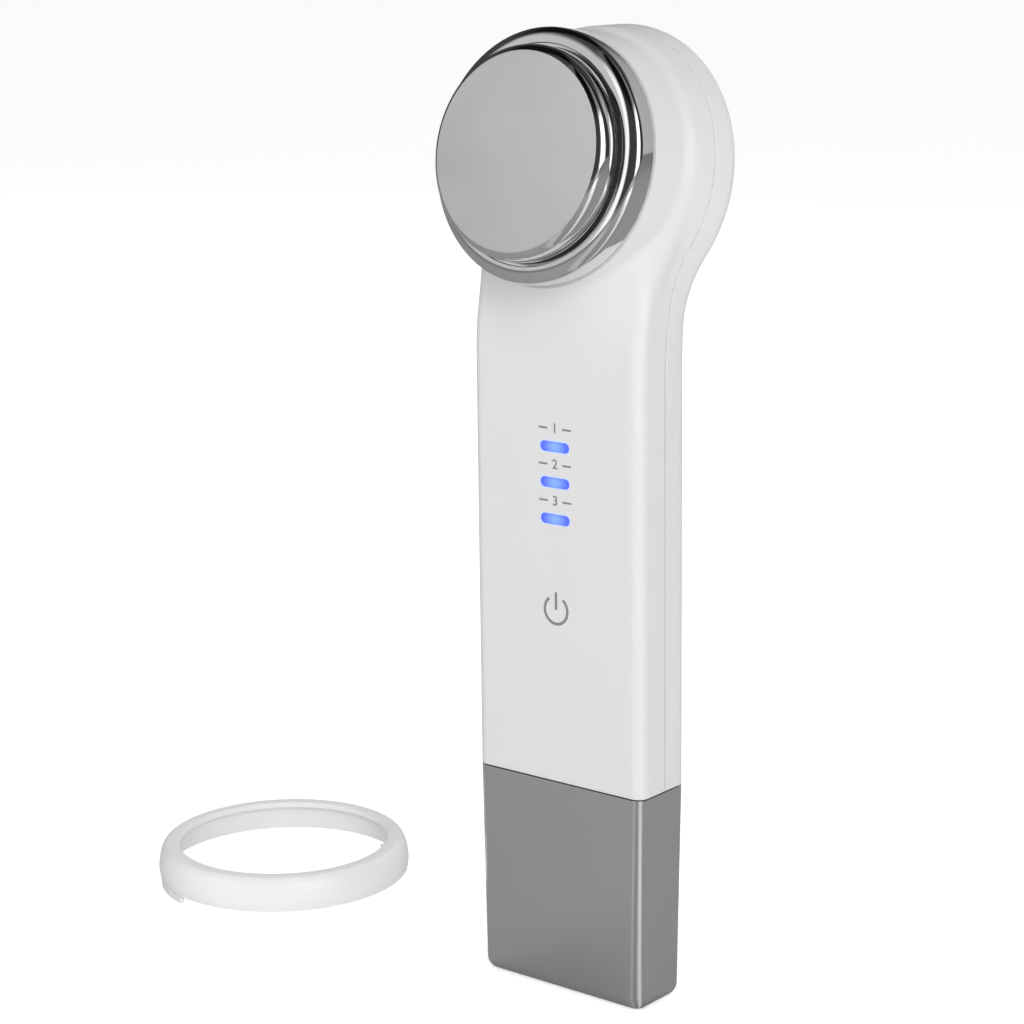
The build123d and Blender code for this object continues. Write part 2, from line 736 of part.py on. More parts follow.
with BuildPart() as motor_cradle:
    cradle_s = (MOTOR_S - CRADLE_HALF_S, MOTOR_S + CRADLE_HALF_S)
    add(head_block(CRADLE_X, cradle_s, (HEAD_BACK + WALL, MOTOR_P - CRADLE_LOW)))
    with BuildSketch(across_head(MOTOR_X[0])):
        Circle(MOTOR_R + SHAFT_PLAY)
    extrude(amount=MOTOR_X[1] - MOTOR_X[0], mode=Mode.SUBTRACT)
save(motor_cradle, "motor_cradle")

# ---- wires ----------------------------------------------------------------------------------
LEAD_R = 0.5
LEAD_BEND = 2.0
SOLDER_Y = BOARD_Y[1] + LEAD_R       # the leads lie on the board's back
SOLDER_Z = 114.0                     # joints near the board's top
BATTERY_LEADS_X = (-6.0, -3.5)
CELL_TAB_Y = -0.5
CELL_TAB_GAP = 0.3
BATTERY_LEAD_TURN_Z = 58.5
BATTERY_LEAD_END_Z = 66.0
MOTOR_LEADS_X = -11.0
MOTOR_LEAD_HALF_PITCH = 0.8
MOTOR_LEAD_TURN_Z = 126.0
PROBE_LEAD_X = 9.0
PROBE_LEAD_TURN_Z = 130.0
PROBE_JOINT_X = 6.0                  # where the probe's lead meets the cup, across and up the face
PROBE_JOINT_S = -8.0
PROBE_LEAD_P = 9.0

with BuildPart() as battery_leads:
    for lead_x in BATTERY_LEADS_X:
        add(
            wire(
                [
                    (lead_x, CELL_TAB_Y, CELL_Z[1] + CELL_TAB_GAP),
                    (lead_x, SOLDER_Y, BATTERY_LEAD_TURN_Z),
                    (lead_x, SOLDER_Y, BATTERY_LEAD_END_Z),
                ],
                LEAD_R,
                LEAD_BEND,
            )
        )
save(battery_leads, "battery_leads")

with BuildPart() as motor_leads:
    for beside in (-MOTOR_LEAD_HALF_PITCH, MOTOR_LEAD_HALF_PITCH):
        lead_x = MOTOR_LEADS_X + beside
        behind = MOTOR_X[0] - LEAD_R
        add(
            wire(
                [
                    head_place(behind, MOTOR_S - 1, MOTOR_P + beside),
                    head_place(behind, -3.0, MOTOR_P + 2 + beside),
                    head_place(lead_x, -16.0, MOTOR_P + 1.3),
                    (lead_x, SOLDER_Y, MOTOR_LEAD_TURN_Z),
                    (lead_x, SOLDER_Y, SOLDER_Z),
                ],
                LEAD_R,
                LEAD_BEND,
            )
        )
save(motor_leads, "motor_leads")

with BuildPart() as probe_lead:
    add(
        wire(
            [
                (PROBE_LEAD_X, SOLDER_Y, SOLDER_Z),
                (PROBE_LEAD_X, SOLDER_Y, PROBE_LEAD_TURN_Z),
                head_place(PROBE_JOINT_X, PROBE_JOINT_S, PROBE_LEAD_P),
                head_place(PROBE_JOINT_X, PROBE_JOINT_S, seat + CUP_POCKET_H),
            ],
            LEAD_R,
            LEAD_BEND,
        )
    )
save(probe_lead, "probe_lead")

# ---- cotton ring, lying beside the massager -----------------------------------------------
RING_WIDEST = 1.85           # above its lower rim
RING_WAIST = 0.35            # the wall draws in by this at its waist
RING_WAIST_H = 4.6
RING_LIP_DROP = 1.0          # the lip's underside runs into the wall
RING_TOP_OUT_R = 24.8
RING_FOOT_R = 26.15
RING_LIP_T = 1.1             # thickness of the inward lip
RING_LUG_T = 1.1             # radial thickness of a lug
HOOK_ARC = 9.0               # the hook's notch, degrees
HOOK_NOTCH_H = 0.8
LUG_BEARINGS = (60.0, 240.0) # where the lugs stand round the ring, degrees from +X


def lug_sector(low, high, z_low, z_high):
    """Piece of a tube under the ring's wall between two bearings."""
    reach = 2 * RING_R
    corners = [(0, 0)]
    for bearing in (low, (low + high) / 2, high):
        corners.append((reach * cos(radians(bearing)), reach * sin(radians(bearing))))
    with BuildPart() as sector:
        with BuildSketch(Plane(origin=(*RING_AT, z_low))):
            Circle(RING_IN_R + RING_LUG_T)
            Circle(RING_IN_R, mode=Mode.SUBTRACT)
            Polygon(*corners, align=None, mode=Mode.INTERSECT)
        extrude(amount=z_high - z_low)
    return sector.part


with BuildPart() as cotton_ring:
    ring_plane = Plane(origin=(*RING_AT, RING_LUG_H), x_dir=(1, 0, 0), z_dir=(0, -1, 0))
    with BuildSketch(ring_plane):
        with BuildLine():
            Line((RING_FOOT_R, 0), (RING_R, RING_WIDEST))
            ThreePointArc(
                (RING_R, RING_WIDEST),
                (RING_R - RING_WAIST, RING_WAIST_H),
                (RING_TOP_OUT_R, RING_H),
            )
            Polyline(
                (RING_TOP_OUT_R, RING_H),
                (RING_TOP_R, RING_H),
                (RING_TOP_R, RING_H - RING_LIP_T),
                (RING_IN_R - RING_LIP_DROP, RING_H - 2 * RING_LIP_T),
                (RING_IN_R, 0),
                (RING_FOOT_R, 0),
            )
        make_face()
    revolve(axis=Axis((*RING_AT, 0), (0, 0, 1)))
    for bearing in LUG_BEARINGS:
        low = bearing - RING_LUG_ARC / 2
        high = bearing + RING_LUG_ARC / 2
        add(lug_sector(low, high, 0, RING_LUG_H))
        add(
            lug_sector(high - HOOK_ARC, high + 1, RING_LUG_H - HOOK_NOTCH_H, RING_LUG_H),
            mode=Mode.SUBTRACT,
        )
save(cotton_ring, "cotton_ring")
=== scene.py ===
from math import cos, pi, radians, sin

import bmesh
import bpy
import numpy as np
from mathutils import Matrix, Vector


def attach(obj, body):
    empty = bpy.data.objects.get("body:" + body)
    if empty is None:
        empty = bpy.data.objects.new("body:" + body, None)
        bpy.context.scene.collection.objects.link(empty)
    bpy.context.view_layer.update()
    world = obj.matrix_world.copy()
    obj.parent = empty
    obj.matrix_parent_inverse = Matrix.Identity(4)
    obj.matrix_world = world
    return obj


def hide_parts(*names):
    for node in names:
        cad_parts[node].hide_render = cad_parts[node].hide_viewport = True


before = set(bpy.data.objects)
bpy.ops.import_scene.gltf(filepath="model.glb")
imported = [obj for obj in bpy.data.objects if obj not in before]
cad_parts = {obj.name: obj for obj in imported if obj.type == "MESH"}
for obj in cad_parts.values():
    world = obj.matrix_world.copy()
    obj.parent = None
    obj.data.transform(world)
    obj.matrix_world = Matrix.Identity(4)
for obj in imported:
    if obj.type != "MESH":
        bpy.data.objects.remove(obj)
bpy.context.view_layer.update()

# Round-probe facial massager and its cotton ring. Metres; +Z up, the probe faces -Y.
MM = 0.001
ACROSS = Vector((1, 0, 0))
UPRIGHT = Vector((0, 0, 1))

# ---- sizes shared with the model, millimetres ----------------------------------------------------
HALF_W = 19.3                # handle
HALF_D = 7.3
SHELL_FOOT_Z = 41.65         # lower edge of the white shells
SHELL_WALL = 1.6
TILT = radians(11.4)         # how far the head leans back
HEAD_CENTRE = Vector((0, 6.92, 154.2))
AXIS = Vector((0, -cos(TILT), sin(TILT)))
UPWARD = Vector((0, sin(TILT), cos(TILT)))
HEAD_R = 25.9
HEAD_DRAFT = 0.2             # millimetres of radius lost for each millimetre towards the probe
HEAD_NARROW = 0.016          # share by which the head is narrower across than it is tall
NECK_LOW = -30.0             # the neck swells into the head between these heights up the face
NECK_HIGH = -6.0
HEAD_EDGE_GROW = 1.4         # and its front edge grows this much rounder
HEAD_BACK = -5.8             # back face of the head and front face of the neck, along the axis
NECK_FRONT = 8.4
SEAT = 14.75                 # where the chrome bezel sits, along the probe's axis
PEDESTAL_FOOT_R = 24.3       # the low cone under the bezel
PEDESTAL_TOP_R = 22.95
PEDESTAL_LOW = 2.0
PEDESTAL_PAST = 4.0          # how far its cone runs on past the seat before it is cut there
NECK_R = 24.0                # hollow curve between handle and head
BEND_EASE = 1.19             # how far the two planes of a soft bend ease into each other
FRONT_EDGE_R = 2.2
BACK_EDGE_R = 3.0
BLEND_MIN = 0.7              # fillet between cone and head, least all round
BLEND_REACH = 13.0           # and how much more it spreads down the neck
BLEND_RISE = 5.4
BLEND_BEARINGS = (-80, -8)   # degrees either side of straight down where it grows
BLEND_DEPTHS = (1, 5)        # and the depths along the axis over which it starts
PARTING_Y = 0.2              # parting line: in the handle, in the head, and its width
PARTING_P = 0.6
PARTING_GAP = 0.1
LIGHT_HEIGHTS = (105.15, 98.5, 91.7)
TOUCH_Z = 74.6
RING_CENTRE = Vector((-84.5, 6.0, 0))
RING_LUG_H = 1.8
SMOOTH_ANGLE = radians(30)   # edges sharper than this stay crisp
MERGE_DISTANCE = 0.0005


# ---- camera --------------------------------------------------------------------------------------
CAMERA_PLACE = Vector((0.2972, -0.3836, 0.2033))
CAMERA_TARGET = Vector((-0.00967, -0.00790, 0.09188))
CAMERA_ROLL = radians(-0.691)
CAMERA_LENS = 95.11


def aim_camera():
    """A long lens at the height of the probe, looking slightly down."""
    back = (CAMERA_PLACE - CAMERA_TARGET).normalized()
    right = (-back).cross(UPRIGHT).normalized()
    up = right.cross(-back)
    side = right * cos(CAMERA_ROLL) + up * sin(CAMERA_ROLL)
    top = up * cos(CAMERA_ROLL) - right * sin(CAMERA_ROLL)
    data = bpy.data.cameras.new("camera")
    data.sensor_width = 36.0
    data.lens = CAMERA_LENS
    data.clip_start = 0.02
    data.clip_end = 60.0
    camera = bpy.data.objects.new("camera", data)
    turn = Matrix((side, top, back)).transposed()
    camera.matrix_world = Matrix.Translation(CAMERA_PLACE) @ turn.to_4x4()
    bpy.context.collection.objects.link(camera)
    bpy.context.scene.camera = camera


aim_camera()
# whites stay clean and chrome keeps its contrast
bpy.context.scene.view_settings.view_transform = "Standard"


# ---- finishes ------------------------------------------------------------------------------------
def add_socket(group, name, kind, goes, value=None):
    """A named socket on a shader group."""
    socket = group.interface.new_socket(name=name, in_out=goes, socket_type=kind)
    if value is not None:
        socket.default_value = value


FINE_SHARE = 0.35            # share of the fine grain in the roughness
ROUGH_SPAN = (0.4, 0.95)     # the mixed noise that spans smoothest to roughest


def make_grain_group():
    """Fine texture of a moulded or blasted surface: tone, roughness and height."""
    group = bpy.data.node_groups.new("surface_grain", "ShaderNodeTree")
    add_socket(group, "Vector", "NodeSocketVector", "INPUT")
    add_socket(group, "Fine Scale", "NodeSocketFloat", "INPUT", 3000.0)
    add_socket(group, "Wide Scale", "NodeSocketFloat", "INPUT", 60.0)
    add_socket(group, "Tone A", "NodeSocketColor", "INPUT", (0.8, 0.8, 0.8, 1))
    add_socket(group, "Tone B", "NodeSocketColor", "INPUT", (0.7, 0.7, 0.7, 1))
    add_socket(group, "Rough A", "NodeSocketFloat", "INPUT", 0.3)
    add_socket(group, "Rough B", "NodeSocketFloat", "INPUT", 0.4)
    add_socket(group, "Colour", "NodeSocketColor", "OUTPUT")
    add_socket(group, "Roughness", "NodeSocketFloat", "OUTPUT")
    add_socket(group, "Height", "NodeSocketFloat", "OUTPUT")
    nodes, links = group.nodes, group.links
    given = nodes.new("NodeGroupInput")
    result = nodes.new("NodeGroupOutput")
    fine = nodes.new("ShaderNodeTexNoise")
    fine.inputs["Detail"].default_value = 3.0
    wide = nodes.new("ShaderNodeTexNoise")
    wide.inputs["Detail"].default_value = 4.0
    tone = nodes.new("ShaderNodeMix")
    tone.data_type = "RGBA"
    rough = nodes.new("ShaderNodeMapRange")
    both = nodes.new("ShaderNodeMath")
    both.operation = "MULTIPLY_ADD"
    both.inputs[1].default_value = FINE_SHARE
    links.new(given.outputs["Vector"], fine.inputs["Vector"])
    links.new(given.outputs["Vector"], wide.inputs["Vector"])
    links.new(given.outputs["Fine Scale"], fine.inputs["Scale"])
    links.new(given.outputs["Wide Scale"], wide.inputs["Scale"])
    links.new(wide.outputs["Fac"], tone.inputs["Factor"])
    links.new(given.outputs["Tone A"], tone.inputs["A"])
    links.new(given.outputs["Tone B"], tone.inputs["B"])
    links.new(fine.outputs["Fac"], both.inputs[0])
    links.new(wide.outputs["Fac"], both.inputs[2])
    links.new(both.outputs["Value"], rough.inputs["Value"])
    rough.inputs["From Min"].default_value = ROUGH_SPAN[0]
    rough.inputs["From Max"].default_value = ROUGH_SPAN[1]
    links.new(given.outputs["Rough A"], rough.inputs["To Min"])
    links.new(given.outputs["Rough B"], rough.inputs["To Max"])
    links.new(tone.outputs["Result"], result.inputs["Colour"])
    links.new(rough.outputs["Result"], result.inputs["Roughness"])
    links.new(fine.outputs["Fac"], result.inputs["Height"])
    return group


grain_group = make_grain_group()


def finish_material(
    name, tones, roughs, metallic=0.0, fine=3000.0, wide=60.0, depth=0.01, stretch=None
):
    """A procedural finish: tone and roughness drift, and a fine grain stands in relief."""
    material = bpy.data.materials.new(name)
    material.use_nodes = True
    nodes, links = material.node_tree.nodes, material.node_tree.links
    shader = nodes["Principled BSDF"]
    place = nodes.new("ShaderNodeTexCoord")
    grain = nodes.new("ShaderNodeGroup")
    grain.node_tree = grain_group
    grain.inputs["Fine Scale"].default_value = fine
    grain.inputs["Wide Scale"].default_value = wide
    grain.inputs["Tone A"].default_value = (*tones[0], 1)
    grain.inputs["Tone B"].default_value = (*tones[1], 1)
    grain.inputs["Rough A"].default_value = roughs[0]
    grain.inputs["Rough B"].default_value = roughs[1]
    if stretch is None:
        links.new(place.outputs["Object"], grain.inputs["Vector"])
    else:
        mapping = nodes.new("ShaderNodeMapping")
        mapping.inputs["Scale"].default_value = stretch
        links.new(place.outputs["Object"], mapping.inputs["Vector"])
        links.new(mapping.outputs["Vector"], grain.inputs["Vector"])
    relief = nodes.new("ShaderNodeBump")
    relief.inputs["Strength"].default_value = 1.0
    relief.inputs["Distance"].default_value = depth * MM
    links.new(grain.outputs["Height"], relief.inputs["Height"])
    links.new(grain.outputs["Colour"], shader.inputs["Base Color"])
    links.new(grain.outputs["Roughness"], shader.inputs["Roughness"])
    links.new(relief.outputs["Normal"], shader.inputs["Normal"])
    shader.inputs["Metallic"].default_value = metallic
    return material


def grey(level):
    """A neutral tone."""
    return (level, level, level)


white_satin = finish_material(
    "white_satin", (grey(0.80), grey(0.775)), (0.30, 0.40), fine=2600.0, depth=0.006
)
satin_shader = white_satin.node_tree.nodes["Principled BSDF"]
satin_shader.inputs["Coat Weight"].default_value = 0.15
satin_shader.inputs["Coat Roughness"].default_value = 0.2
white_ring = finish_material(
    "white_ring", (grey(0.93), grey(0.90)), (0.28, 0.38), fine=2200.0, depth=0.006
)
blasted_metal = finish_material(
    "blasted_metal", (grey(0.77), grey(0.71)), (0.19, 0.28), 1.0, fine=4200.0, depth=0.008
)
disc_metal = finish_material(
    "disc_metal", (grey(0.82), grey(0.78)), (0.30, 0.40), 1.0, fine=5200.0, depth=0.006
)
chrome = finish_material(
    "chrome", (grey(0.78), grey(0.74)), (0.05, 0.10), 1.0, fine=500.0, depth=0.0015
)
black_rubber = finish_material(
    "black_rubber", (grey(0.02), grey(0.03)), (0.55, 0.75), fine=3500.0, depth=0.02
)
inner_plastic = finish_material(
    "inner_plastic", (grey(0.55), grey(0.48)), (0.45, 0.60), fine=2400.0, depth=0.02
)
spring_steel = finish_material(
    "spring_steel", (grey(0.50), grey(0.42)), (0.22, 0.34), 1.0, depth=0.006, stretch=(1, 12, 1)
)
machine_steel = finish_material(
    "machine_steel", (grey(0.45), grey(0.38)), (0.25, 0.38), 1.0, depth=0.008, stretch=(14, 1, 1)
)
tungsten = finish_material(
    "tungsten", (grey(0.20), grey(0.16)), (0.38, 0.52), 1.0, fine=3800.0, depth=0.02
)
led_body = finish_material(
    "led_body", ((0.75, 0.70, 0.45), (0.70, 0.62, 0.36)), (0.25, 0.35), fine=2000.0, depth=0.01
)
board_green = finish_material(
    "board_green", ((0.02, 0.14, 0.06), (0.03, 0.18, 0.08)), (0.30, 0.45), wide=220.0, depth=0.01
)
chip_black = finish_material(
    "chip_black", (grey(0.03), grey(0.045)), (0.45, 0.60), fine=5000.0, depth=0.012
)
battery_foil = finish_material(
    "battery_foil", (grey(0.55), grey(0.48)), (0.22, 0.42), 1.0, fine=800.0, depth=0.03
)
grey_foam = finish_material(
    "grey_foam", (grey(0.25), grey(0.32)), (0.80, 0.95), fine=1800.0, depth=0.15
)
lead_red = finish_material(
    "lead_red", ((0.45, 0.02, 0.02), (0.38, 0.03, 0.02)), (0.35, 0.50), depth=0.01
)
print_grey = finish_material(
    "print_grey", (grey(0.23), grey(0.26)), (0.45, 0.60), fine=4000.0, depth=0.004
)
milky_lens = finish_material(
    "milky_lens", ((0.74, 0.80, 0.95), (0.70, 0.77, 0.94)), (0.25, 0.35), fine=2600.0, depth=0.004
)
UNLIT_BLUE = ((0.03, 0.05, 0.25), (0.02, 0.04, 0.2))
GLOW_RIM = (0.075, 0.13, 0.95, 1)
GLOW_MIDDLE = (0.24, 0.42, 1.0, 1)
GLOW_SPREAD = Vector((2.7, 3.0, 1.7))


def glowing_material(name, centre_z):
    """A lit window: the glow is palest in the middle of its length and deepens to its rim."""
    material = finish_material(name, UNLIT_BLUE, (0.25, 0.35), depth=0.004)
    nodes, links = material.node_tree.nodes, material.node_tree.links
    shader = nodes["Principled BSDF"]
    place = nodes.new("ShaderNodeTexCoord")
    centred = nodes.new("ShaderNodeMapping")
    centred.vector_type = "TEXTURE"
    centred.inputs["Location"].default_value = (0, -HALF_D * MM, centre_z * MM)
    centred.inputs["Scale"].default_value = GLOW_SPREAD * MM
    spread = nodes.new("ShaderNodeTexGradient")
    spread.gradient_type = "SPHERICAL"
    glow = nodes.new("ShaderNodeValToRGB")
    glow.color_ramp.elements[0].color = GLOW_RIM
    glow.color_ramp.elements[1].color = GLOW_MIDDLE
    glow.color_ramp.elements[1].position = 0.75
    links.new(place.outputs["Object"], centred.inputs["Vector"])
    links.new(centred.outputs["Vector"], spread.inputs["Vector"])
    links.new(spread.outputs["Color"], glow.inputs["Fac"])
    links.new(glow.outputs["Color"], shader.inputs["Emission Color"])
    shader.inputs["Emission Strength"].default_value = 1.0
    return material


# ---- mesh helpers --------------------------------------------------------------------------------
def head_place(x, s, p):
    """Millimetre point x across, s up the face and p along the probe's axis."""
    return HEAD_CENTRE + Vector((x, 0, 0)) + UPWARD * s + AXIS * p


def evaluated_mesh(holder):
    """The finished mesh of a working object, which is then removed."""
    graph = bpy.context.evaluated_depsgraph_get()
    mesh = bpy.data.meshes.new_from_object(holder.evaluated_get(graph))
    bpy.data.objects.remove(holder)
    return mesh


def finish_piece(bm, name, materials, body, nodes):
    """Turns a bmesh in millimetres into a finished piece that rides on its body."""
    bmesh.ops.scale(bm, vec=(MM, MM, MM), verts=bm.verts)
    bmesh.ops.recalc_face_normals(bm, faces=bm.faces)
    mesh = bpy.data.meshes.new(name)
    bm.to_mesh(mesh)
    bm.free()
    piece = bpy.data.objects.new(name, mesh)
    bpy.context.collection.objects.link(piece)
    for material in materials:
        mesh.materials.append(material)
    mesh.shade_smooth()
    mesh.set_sharp_from_angle(angle=SMOOTH_ANGLE)
    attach(piece, body)
    if nodes:
        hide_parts(*nodes)
    return piece


TURN_STEPS = 160
ROUNDING_STEPS = 5


def turned(profile, centre, axis):
    """A body of revolution from (radius, height, corner rounding) points, as a closed bmesh."""
    bm = bmesh.new()
    verts = [
        bm.verts.new(centre + ACROSS * radius + axis * height) for radius, height, _ in profile
    ]
    closed = profile[0][0] > 0 and profile[-1][0] > 0
    for first, second in zip(verts, verts[1:]):
        bm.edges.new((first, second))
    if closed:
        bm.edges.new((verts[-1], verts[0]))
    for vert, (_, _, rounding) in zip(verts, profile):
        if rounding > 0:
            bmesh.ops.bevel(
                bm,
                geom=[vert],
                offset=rounding,
                offset_type="OFFSET",
                segments=ROUNDING_STEPS,
                profile=0.5,
                affect="VERTICES",
                material=-1,
            )
    bmesh.ops.spin(
        bm,
        geom=bm.verts[:] + bm.edges[:],
        cent=centre,
        axis=axis,
        angle=2 * pi,
        steps=TURN_STEPS,
        use_merge=True,
    )
    bmesh.ops.remove_doubles(bm, verts=bm.verts, dist=MERGE_DISTANCE)
    return bm


def copy_into(target, source):
    """Adds one bmesh's faces to another."""
    mesh = bpy.data.meshes.new("part_of_piece")
    source.to_mesh(mesh)
    source.free()
    target.from_mesh(mesh)
    bpy.data.meshes.remove(mesh)


# ---- the white shells: one soft skin from handle to head -----------------------------------------
def soft_max(a, b, ease):
    """The larger of two distances, eased where they cross."""
    near = np.maximum(ease - np.abs(a - b), 0)
    return np.maximum(a, b) + near * near / (4 * ease)


def rounded_corner(a, b, radius):
    """Both distances hold, and their common edge is rounded."""
    u = a + radius
    v = b + radius
    past = np.hypot(np.maximum(u, 0), np.maximum(v, 0))
    return np.minimum(np.maximum(u, v), 0) + past - radius


def eased(value, low, high):
    """Rises smoothly from 0 at low to 1 at high."""
    share = np.clip((value - low) / (high - low), 0, 1)
    return share * share * (3 - 2 * share)


def skin_gap(points):
    """How far points stand outside the soft skin of handle, neck and head."""
    x = np.abs(points[:, 0])
    y = points[:, 1]
    from_head = points - np.array(HEAD_CENTRE)
    p = from_head @ np.array(AXIS)
    s = from_head @ np.array(UPWARD)
    in_head = eased(s, NECK_LOW, NECK_HIGH)
    x = x * (1 + HEAD_NARROW * in_head)
    radius = HEAD_R - HEAD_DRAFT * p
    fillet_x = HALF_W + NECK_R
    fillet_s = -np.sqrt((radius + NECK_R) ** 2 - fillet_x**2)
    from_middle = np.hypot(x, s)
    beside = np.where(s > fillet_s, NECK_R - np.hypot(x - fillet_x, s - fillet_s), x - HALF_W)
    outline = np.where(fillet_x * s - fillet_s * x > 0, from_middle - radius, beside)
    front = soft_max(-HALF_D - y, p - NECK_FRONT, BEND_EASE)
    back = -soft_max(HALF_D - y, p - HEAD_BACK, BEND_EASE)
    front_r = FRONT_EDGE_R + HEAD_EDGE_GROW * in_head
    body = rounded_corner(rounded_corner(outline, front, front_r), back, BACK_EDGE_R)
    taper = (PEDESTAL_FOOT_R - PEDESTAL_TOP_R) / (SEAT - PEDESTAL_LOW)
    pedestal = from_middle - PEDESTAL_FOOT_R + taper * (p - PEDESTAL_LOW)
    pedestal = np.maximum(pedestal, np.maximum(PEDESTAL_LOW - p, p - SEAT - PEDESTAL_PAST))
    bearing = np.degrees(np.arctan2(x, -s))
    share = eased(-bearing, *BLEND_BEARINGS) * eased(p, *BLEND_DEPTHS)
    reach = BLEND_MIN + BLEND_REACH * share
    rise = BLEND_MIN + BLEND_RISE * share
    u = 1 - pedestal / reach
    v = 1 - body / rise
    blend = 1 - np.hypot(np.maximum(u, 0), np.maximum(v, 0))
    outside = np.maximum(np.minimum(pedestal - reach, body - rise), 0)
    return np.minimum(reach, rise) * blend + outside


SLOPE_STEP = 0.01
LEAST_SLOPE = 0.05
MOST_MOVE = 1.5


def slope(points):
    """Which way, and how fast, the gap grows at each point."""
    columns = []
    for axis in range(3):
        shift = np.zeros(3)
        shift[axis] = SLOPE_STEP
        change = skin_gap(points + shift) - skin_gap(points - shift)
        columns.append(change / (2 * SLOPE_STEP))
    return np.stack(columns, axis=1)


def settle(points, rounds):
    """Moves points onto the skin."""
    for _ in range(rounds):
        gap = skin_gap(points)
        rate = slope(points)
        size = np.maximum((rate * rate).sum(axis=1), LEAST_SLOPE)
        move = rate * (gap / size)[:, None]
        length = np.maximum(np.linalg.norm(move, axis=1), 1e-9)
        move *= np.minimum(1, MOST_MOVE / length)[:, None]
        points = points - move
    return points


# local X across, Y down the probe's axis and Z up the face
HEAD_TURN = Matrix((ACROSS, -AXIS, UPWARD)).transposed().to_4x4()
SKIN_PITCH = 0.52            # spacing of the skin's mesh
ROUGH_HANDLE_Z = 82.0        # middle and height of the block for the handle
ROUGH_HANDLE_H = 92.0
ROUGH_NECK_S = -20.0         # and of the block for the neck, up the face
ROUGH_NECK_H = 40.0
ROUGH_DRUMS = (              # from, to along the axis, radius at each end
    (HEAD_BACK, NECK_FRONT, 27.0, 24.3),
    (0.0, SEAT + 3, PEDESTAL_FOOT_R, PEDESTAL_TOP_R),
)
SETTLE_ROUNDS = (3, 3, 3, 8)


def block(bm, place, width, depth, height):
    """A plain block of material about a place."""
    size = Matrix.Diagonal((width, depth, height, 1))
    bmesh.ops.create_cube(bm, size=1, matrix=place @ size)


def rough_body():
    """Overlapping solids near the final form, fused into one even mesh."""
    bm = bmesh.new()
    upright = Matrix.Translation((0, 0, ROUGH_HANDLE_Z))
    block(bm, upright, 2 * HALF_W, 2 * HALF_D, ROUGH_HANDLE_H)
    middle = (HEAD_BACK + NECK_FRONT) / 2
    neck = Matrix.Translation(head_place(0, ROUGH_NECK_S, middle)) @ HEAD_TURN
    block(bm, neck, 2 * HALF_W, NECK_FRONT - HEAD_BACK, ROUGH_NECK_H)
    for low, high, foot_r, top_r in ROUGH_DRUMS:
        drum = Matrix.Translation(head_place(0, 0, (low + high) / 2)) @ HEAD_TURN
        bmesh.ops.create_cone(
            bm,
            cap_ends=True,
            segments=96,
            radius1=foot_r,
            radius2=top_r,
            depth=high - low,
            matrix=drum @ Matrix.Rotation(pi / 2, 4, "X"),
        )
    mesh = bpy.data.meshes.new("rough_body")
    bm.to_mesh(mesh)
    bm.free()
    holder = bpy.data.objects.new("rough_body", mesh)
    bpy.context.collection.objects.link(holder)
    fuse = holder.modifiers.new("fuse", "REMESH")
    fuse.mode = "VOXEL"
    fuse.voxel_size = SKIN_PITCH
    fused = evaluated_mesh(holder)
    bpy.data.meshes.remove(mesh)
    return fused


def parting_y(z):
    """Depth of the parting line at each height: upright in the handle, leaning in the head."""
    leaning = HEAD_CENTRE.y + (sin(TILT) * (z - HEAD_CENTRE.z) - PARTING_P) / cos(TILT)
    return soft_max(np.full_like(z, PARTING_Y), leaning, BEND_EASE)


def shift_parting(bm, way):
    """Straightens the parting surface onto y = 0, or bends it back."""
    depths = parting_y(np.array([vert.co.z for vert in bm.verts]))
    for vert, depth in zip(bm.verts, depths):
        vert.co.y += way * depth


def keep_side(bm, point, normal):
    """Cuts away what lies beyond a plane."""
    bmesh.ops.bisect_plane(
        bm,
        geom=bm.verts[:] + bm.edges[:] + bm.faces[:],
        dist=MERGE_DISTANCE,
        plane_co=point,
        plane_no=normal,
        clear_outer=True,
    )


def soft_skin():
    """The whole outer skin, open at its foot and at the bezel's seat."""
    mesh = rough_body()
    bm = bmesh.new()
    bm.from_mesh(mesh)
    bpy.data.meshes.remove(mesh)
    for rounds in SETTLE_ROUNDS:
        bmesh.ops.smooth_vert(
            bm,
            verts=bm.verts,
            factor=0.5,
            use_axis_x=True,
            use_axis_y=True,
            use_axis_z=True,
        )
        settled = settle(np.array([vert.co[:] for vert in bm.verts]), rounds)
        for vert, place in zip(bm.verts, settled):
            vert.co = place
    keep_side(bm, (0, 0, SHELL_FOOT_Z), (0, 0, -1))
    keep_side(bm, head_place(0, 0, SEAT), AXIS)
    return bm


SEAT_PLACE = head_place(0, 0, SEAT)
LIP_INNER = 0.87             # the rim's inner edge, as a share of its outer one
NEAR_PLANE = 0.01


def in_seat_plane(edge):
    """Whether an edge lies where the bezel sits."""
    return all(abs((vert.co - SEAT_PLACE).dot(AXIS)) < NEAR_PLANE for vert in edge.verts)


def seat_lip(bm):
    """Turns the rim under the bezel inwards."""
    rim_edges = [edge for edge in bm.edges if edge.is_boundary and in_seat_plane(edge)]
    made = bmesh.ops.extrude_edge_only(bm, edges=rim_edges)
    for vert in made["geom"]:
        if isinstance(vert, bmesh.types.BMVert):
            vert.co = SEAT_PLACE + (vert.co - SEAT_PLACE) * LIP_INNER


whole_skin = soft_skin()


def shell_piece(name, front):
    """One half of the skin, with its wall."""
    bm = whole_skin.copy()
    way = 1 if front else -1
    if front:
        seat_lip(bm)
    shift_parting(bm, -1)
    keep_side(bm, (0, -way * PARTING_GAP / 2, 0), (0, way, 0))
    shift_parting(bm, 1)
    replaced = [name.replace("_skin", "")]
    piece = finish_piece(bm, name, [white_satin], "massager", replaced)
    wall = piece.modifiers.new("wall", "SOLIDIFY")
    wall.thickness = SHELL_WALL * MM
    wall.offset = -1


shell_piece("front_shell_skin", True)
shell_piece("back_shell_skin", False)
whole_skin.free()

